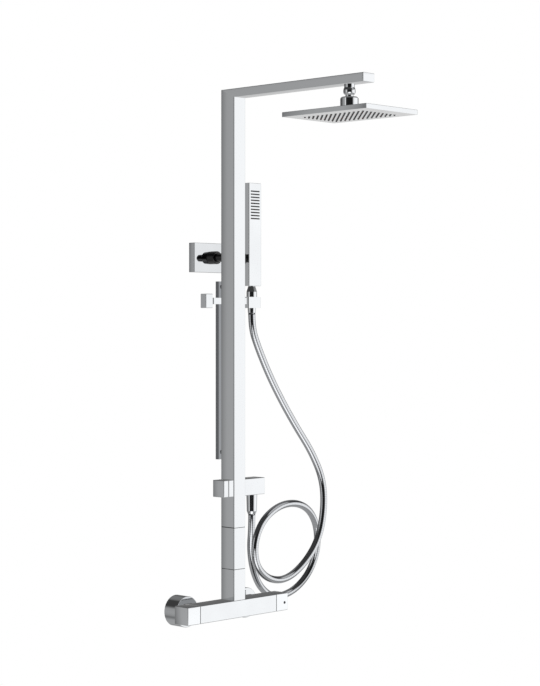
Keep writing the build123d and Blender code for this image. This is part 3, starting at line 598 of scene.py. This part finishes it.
def grained(name, dark, light, rough, grain_mm, detail, bump=None, **surface):
    """A fine-grained solid finish: its tone and roughness vary with the grain, and bump is the
    (strength, depth in metres) of its relief. surface holds the shader's even values."""
    material, tree = new_material(name)
    place = add_node(tree, "ShaderNodeTexCoord")
    grain = add_node(
        tree,
        "ShaderNodeTexNoise",
        {"Vector": place.outputs["Object"], "Scale": 1000 / grain_mm, "Detail": detail},
    )
    tone = add_node(
        tree, "ShaderNodeMixRGB", {0: grain.outputs["Fac"], 1: linear(dark), 2: linear(light)}
    )
    haze = add_node(
        tree, "ShaderNodeMapRange", {0: grain.outputs["Fac"], 3: rough[0], 4: rough[1]}
    )
    inputs = {"Base Color": tone.outputs[0], "Roughness": haze.outputs[0]}
    if bump:
        relief = add_node(
            tree,
            "ShaderNodeBump",
            {"Strength": bump[0], "Distance": bump[1], "Height": grain.outputs["Fac"]},
        )
        inputs["Normal"] = relief.outputs[0]
    for label, value in surface.items():
        inputs[label.replace("_", " ")] = value
    shader = add_node(tree, "ShaderNodeBsdfPrincipled", inputs)
    add_node(tree, "ShaderNodeOutputMaterial", {"Surface": shader.outputs[0]})
    return material


# Black frames fill the two seams of the riser's foot, a hair inside the faces: dark sheets put in
# as painted shade for the shadow lines in the seams.
seam_shade_black = grained(
    "painted_seam_shade_black", "#0C0C0D", "#171718", (0.5, 0.7), 1.1111, 2.0, IOR=1.52
)
seam_shade_inset, seam_shade_wall = 0.0004, 0.0011
for name, below_it, above_it in (
    ("gasket_low", "riser_lower_tube", "riser_sleeve"),
    ("gasket_high", "riser_sleeve", "riser_tube"),
):
    under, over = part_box(below_it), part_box(above_it)
    seam_shade_frame = square_frame(
        name,
        (under[0].x + seam_shade_inset, under[0].y + seam_shade_inset, under[1].z),
        (under[1].x - seam_shade_inset, under[1].y - seam_shade_inset, over[0].z),
        seam_shade_wall,
        2,
    )
    seam_shade_frame.data.materials.append(seam_shade_black)
    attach(seam_shade_frame, "column")

# MIXER
# A square brass bar cast and machined hollow, polished and chrome plated like its two end knobs.
# The knobs are solid and turn on splined brass spindles; the right one has a round button.
cast_chrome = plated("chrome_on_cast_brass", "#C6C8CA", "#D2D4D6", 0.05, 6.0, 0.06, 45.0)
bar_chrome = plated(
    "chrome_on_cast_bar", "#C8CACC", "#D0D2D4", 0.05, 6.0, 0.06, 45.0,
    section=cross_section("mixer_body", along="X"),
)
finish_nodes(bar_chrome, "mixer_body")
# The knobs' plating is a little lighter than the bar's: painted light for the mixer's brighter end
# faces.
for knob in ("flow_knob", "temperature_knob"):
    brightened_knob_chrome = plated(
        "chrome_on_cast_" + knob, "#CCCED0", "#D6D8DA", 0.05, 6.0, 0.06, 45.0,
        section=cross_section(knob),
    )
    finish_nodes(brightened_knob_chrome, knob)

# Black frames between the knobs and the bar show as a dark line all round: dark sheets put in as
# painted shade for the shadow line in those seams.
plate_inset, plate_wall, plate_clear = 0.0008, 0.004, 0.00025
for name, knob, side in (
    ("flow_wear_plate", "flow_knob", 0), ("temperature_wear_plate", "temperature_knob", 1),
):
    bar, turned_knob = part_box("mixer_body"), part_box(knob)
    inner, outer = bar[side].x, turned_knob[1 - side].x
    toward = 1 if outer > inner else -1
    outer -= toward * plate_clear
    plate = square_frame(
        name,
        (min(inner, outer), bar[0].y + plate_inset, bar[0].z + plate_inset),
        (max(inner, outer), bar[1].y - plate_inset, bar[1].z - plate_inset),
        plate_wall,
        0,
    )
    plate.data.materials.append(seam_shade_black)
    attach(plate, "column")

# The turned brass has a fine grain, drawn coarser than real tool marks so that it shows.
turned_brass = grained(
    "turned_brass", "#B9924A", "#D1AE68", (0.2, 0.42), 1.42857, 3.0, (0.2, 0.0001), Metallic=1.0
)
finish_nodes(
    turned_brass,
    "flow_cartridge", "flow_spindle", "thermostat_cartridge", "thermostat_spindle",
    "riser_coupling", "inlet_union_hot", "inlet_union_cold", "inlet_tail_hot", "inlet_tail_cold",
    "arm_outlet_block", "diverter_cartridge", "hose_nipple", "bracket_anchor",
)

# WALL UNIONS
# Two eccentric brass unions screw into the supply pipes; thin spun rosettes slide over them to
# the wall, and hexagonal union nuts pull the mixer on. Filter screens are stainless.
spun_chrome = plated("chrome_on_spun_brass", "#C2C4C6", "#CED0D2", 0.05, 5.0, 0.05, 30.0)
finish_nodes(spun_chrome, "rosette_hot", "rosette_cold", "union_nut_hot", "union_nut_cold")

drawn_steel = grained(
    "drawn_stainless_steel", "#A4A5A7", "#BDBEC0", (0.22, 0.4), 2.5, 5.0, Metallic=1.0
)
finish_nodes(
    drawn_steel,
    "inlet_strainer_hot", "inlet_strainer_cold", "button_spring", "lower_pipe", "riser_pipe",
)

# WALL BRACKET
# A screwed base plate hides under a square pressed cover, chrome plated. The stepped post that
# carries the riser off the wall is moulded in glossy black acetal.
cover_chrome = plated(
    "chrome_on_pressed_cover", "#B9BBBD", "#C4C6C8", 0.05, 6.0, 0.05, 45.0,
    section=cross_section("bracket_cover"),
)
finish_nodes(cover_chrome, "bracket_cover")
finish_nodes(spun_chrome, "bracket_base")
gloss_black = grained(
    "gloss_black_acetal", "#08080A", "#101013", (0.16, 0.26), 4.0, 3.0, IOR=1.48
)
finish_nodes(gloss_black, "bracket_post")

# SLIDE RAIL AND HANDSET HOLDER
# The rail is a flat drawn bar on two pins behind the riser. The slider rides it on a plastic
# liner and its clamp knob locks it; the holder's cradle tilts on a pin.
finish_nodes(shade_darkened_rail_steel, "slide_rail", "rail_standoff_low", "rail_standoff_high")
finish_nodes(cast_chrome, "slider_body", "clamp_knob", "holder_pin", "holder_cradle")

moulded_plastic = grained(
    "moulded_acetal", "#2C2D2F", "#38393B", (0.42, 0.58), 1.1111, 2.0, (0.3, 0.00008), IOR=1.48
)
finish_nodes(moulded_plastic, "slider_liner", "ball_seat_ring", "override_button")

# HANDSET
# A flat hollow bar of chrome-plated ABS with ten spray slots over a silicone insert. A chromed
# brass cone nut holds the hose and drops into the holder.
plated_abs = plated(
    "chrome_on_moulded_abs", "#C8CACC", "#D0D2D4", 0.05, 7.0, 0.08, 60.0,
    section=cross_section("handset_body", along="Z"),
)
finish_nodes(plated_abs, "handset_body", "handset_inlet")
finish_nodes(cast_chrome, "hose_cone_nut", "hose_lower_nut")

soft_silicone = grained(
    "moulded_silicone", "#3B3C3E", "#4A4B4D", (0.5, 0.7), 1.66667, 2.0,
    IOR=1.41, Subsurface_Weight=0.05,
)
finish_nodes(soft_silicone, "handset_nozzle_insert", "nozzle_mat")

# OUTLET AND DIVERTER
# One brass block passes through the riser: the diverter knob turns in its left end and the hose
# nut hangs under its right end. Block and knob are polished and plated.
outlet_chrome = plated(
    "chrome_on_outlet_block", "#C8CACC", "#D0D2D4", 0.05, 6.0, 0.06, 45.0,
    section=cross_section("outlet_body"),
)
finish_nodes(outlet_chrome, "outlet_body")
diverter_chrome = plated(
    "chrome_on_diverter_knob", "#C8CACC", "#D0D2D4", 0.05, 6.0, 0.06, 45.0,
    section=cross_section("diverter_knob"),
)
finish_nodes(diverter_chrome, "diverter_knob")

# HEAD SHOWER
# A slim rectangular head: a plated brass shell over a polished stainless spray plate, hung on a
# brass ball joint under the arm. Soft nozzles stand through the plate on a 10 mm grid.
finish_nodes(cast_chrome, "ball_stem", "head_boss", "socket_nut")
shell_chrome = plated(
    "chrome_on_pressed_shell", "#C8CACC", "#D0D2D4", 0.05, 6.0, 0.05, 80.0,
    section=cross_section("head_shell"),
)
finish_nodes(shell_chrome, "head_shell")
# Each nozzle is a soft nipple with a rolled lip and a bored jet, moulded in one with its mat.
nozzle_columns, nozzle_rows, nozzle_pitch = 9, 14, 0.010
nozzle_profile = [
    (0.00045, 0.0011), (0.00045, 0.0001), (0.00062, 0.0), (0.00092, 0.0), (0.00108, 0.00016),
    (0.00124, 0.0007), (0.00165, 0.0013), (0.0021, 0.00165), (0.0024, 0.0018),
]
nozzle_sides = 14
tip_stand_out = 0.0002


def turn_profile(name, profile, sides):
    """A closed turned piece from (radius, height) pairs, along Z, with its tip at the origin."""
    verts = [
        (r * math.cos(2 * math.pi * k / sides), r * math.sin(2 * math.pi * k / sides), z)
        for r, z in profile
        for k in range(sides)
    ]
    faces = [
        (
            i * sides + k, (i + 1) * sides + k,
            (i + 1) * sides + (k + 1) % sides, i * sides + (k + 1) % sides,
        )
        for i in range(len(profile) - 1)
        for k in range(sides)
    ]
    faces.append(tuple(range(sides)))
    last = (len(profile) - 1) * sides
    faces.append(tuple(reversed(range(last, last + sides))))
    turned = link_mesh(name, verts, faces)
    face_outwards(turned.data)
    return turned


nozzle_field = bpy.data.node_groups.new("nozzle_field", "GeometryNodeTree")
for label, kind in (
    ("Nozzle", "NodeSocketObject"), ("Columns", "NodeSocketInt"), ("Rows", "NodeSocketInt"),
    ("Width", "NodeSocketFloat"), ("Length", "NodeSocketFloat"), ("Centre", "NodeSocketVector"),
    ("Turn", "NodeSocketVector"), ("Size", "NodeSocketFloat"), ("Rubber", "NodeSocketMaterial"),
):
    nozzle_field.interface.new_socket(name=label, in_out="INPUT", socket_type=kind)
nozzle_field.interface.new_socket(
    name="Geometry", in_out="OUTPUT", socket_type="NodeSocketGeometry"
)
given = add_node(nozzle_field, "NodeGroupInput")
grid = add_node(
    nozzle_field,
    "GeometryNodeMeshGrid",
    {
        "Size X": given.outputs["Width"], "Size Y": given.outputs["Length"],
        "Vertices X": given.outputs["Columns"], "Vertices Y": given.outputs["Rows"],
    },
)
nipple = add_node(nozzle_field, "GeometryNodeObjectInfo", {"Object": given.outputs["Nozzle"]})
planted = add_node(
    nozzle_field,
    "GeometryNodeInstanceOnPoints",
    {
        "Points": grid.outputs["Mesh"], "Instance": nipple.outputs["Geometry"],
        "Scale": given.outputs["Size"],
    },
)
set_down = add_node(
    nozzle_field,
    "GeometryNodeTransform",
    {
        "Geometry": planted.outputs[0], "Translation": given.outputs["Centre"],
        "Rotation": given.outputs["Turn"],
    },
)
made_real = add_node(
    nozzle_field, "GeometryNodeRealizeInstances", {"Geometry": set_down.outputs[0]}
)
rubbered = add_node(
    nozzle_field,
    "GeometryNodeSetMaterial",
    {"Geometry": made_real.outputs[0], "Material": given.outputs["Rubber"]},
)
add_node(nozzle_field, "NodeGroupOutput", {"Geometry": rubbered.outputs[0]})


def plant_nozzles(name, body, values):
    """Runs the nozzle field on a new object, bakes it to a plain mesh, and gives it to a body."""
    holder = link_mesh(name + "_tree", [], [])
    modifier = holder.modifiers.new("field", "NODES")
    modifier.node_group = nozzle_field
    for item in nozzle_field.interface.items_tree:
        if item.in_out == "INPUT":
            modifier[item.identifier] = values[item.name]
    bpy.context.view_layer.update()
    baked = bpy.data.meshes.new_from_object(
        holder.evaluated_get(bpy.context.evaluated_depsgraph_get())
    )
    baked.name = name
    bpy.data.objects.remove(holder)
    field = bpy.data.objects.new(name, baked)
    scene.collection.objects.link(field)
    field.data.polygons.foreach_set("use_smooth", [True] * len(field.data.polygons))
    if not field.data.materials:
        field.data.materials.append(values["Rubber"])
    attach(field, body)
    return field


nozzle = turn_profile("nozzle_master", nozzle_profile, nozzle_sides)
plate_low, plate_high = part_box("head_spray_plate")
mat_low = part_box("nozzle_mat")[0]
spray_nozzles = plant_nozzles(
    "spray_nozzles",
    "head",
    {
        "Nozzle": nozzle,
        "Columns": nozzle_columns,
        "Rows": nozzle_rows,
        "Width": (nozzle_columns - 1) * nozzle_pitch,
        "Length": (nozzle_rows - 1) * nozzle_pitch,
        "Centre": (
            (plate_low.x + plate_high.x) / 2,
            (plate_low.y + plate_high.y) / 2,
            mat_low.z - tip_stand_out,
        ),
        "Turn": (0.0, 0.0, 0.0),
        "Size": 1.0,
        "Rubber": soft_silicone,
    },
)

# The handset's insert carries six small jets in each of its ten slots.
slot_rows, slot_jets, slot_pitch, jets_width, jet_size = 10, 6, 0.00547, 0.0175, 0.42
insert_low, insert_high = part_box("handset_nozzle_insert")
slots_middle_z = (insert_low.z + insert_high.z) / 2
handset_jets = plant_nozzles(
    "handset_jets",
    "handset",
    {
        "Nozzle": nozzle,
        "Columns": slot_jets,
        "Rows": slot_rows,
        "Width": jets_width,
        "Length": (slot_rows - 1) * slot_pitch,
        "Centre": (
            (insert_low.x + insert_high.x) / 2, insert_low.y - tip_stand_out, slots_middle_z,
        ),
        "Turn": (math.radians(-90), 0.0, 0.0),
        "Size": jet_size,
        "Rubber": soft_silicone,
    },
)
bpy.data.objects.remove(nozzle)
spray_nozzles.visible_glossy = handset_jets.visible_glossy = False

spray_chrome = plated("polished_spray_plate", "#ECEDEE", "#F4F4F4", 0.12, 8.0, 0.05, 50.0)
finish_nodes(spray_chrome, "head_spray_plate")

# The polish mirrors the studio's cards and not the neighbouring pieces, which keeps its faces
# clean. Only the bracket's post and the mixer show in the others.
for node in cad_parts.values():
    node.visible_glossy = node.name in ("bracket_post", "mixer_body")
hose.visible_glossy = False
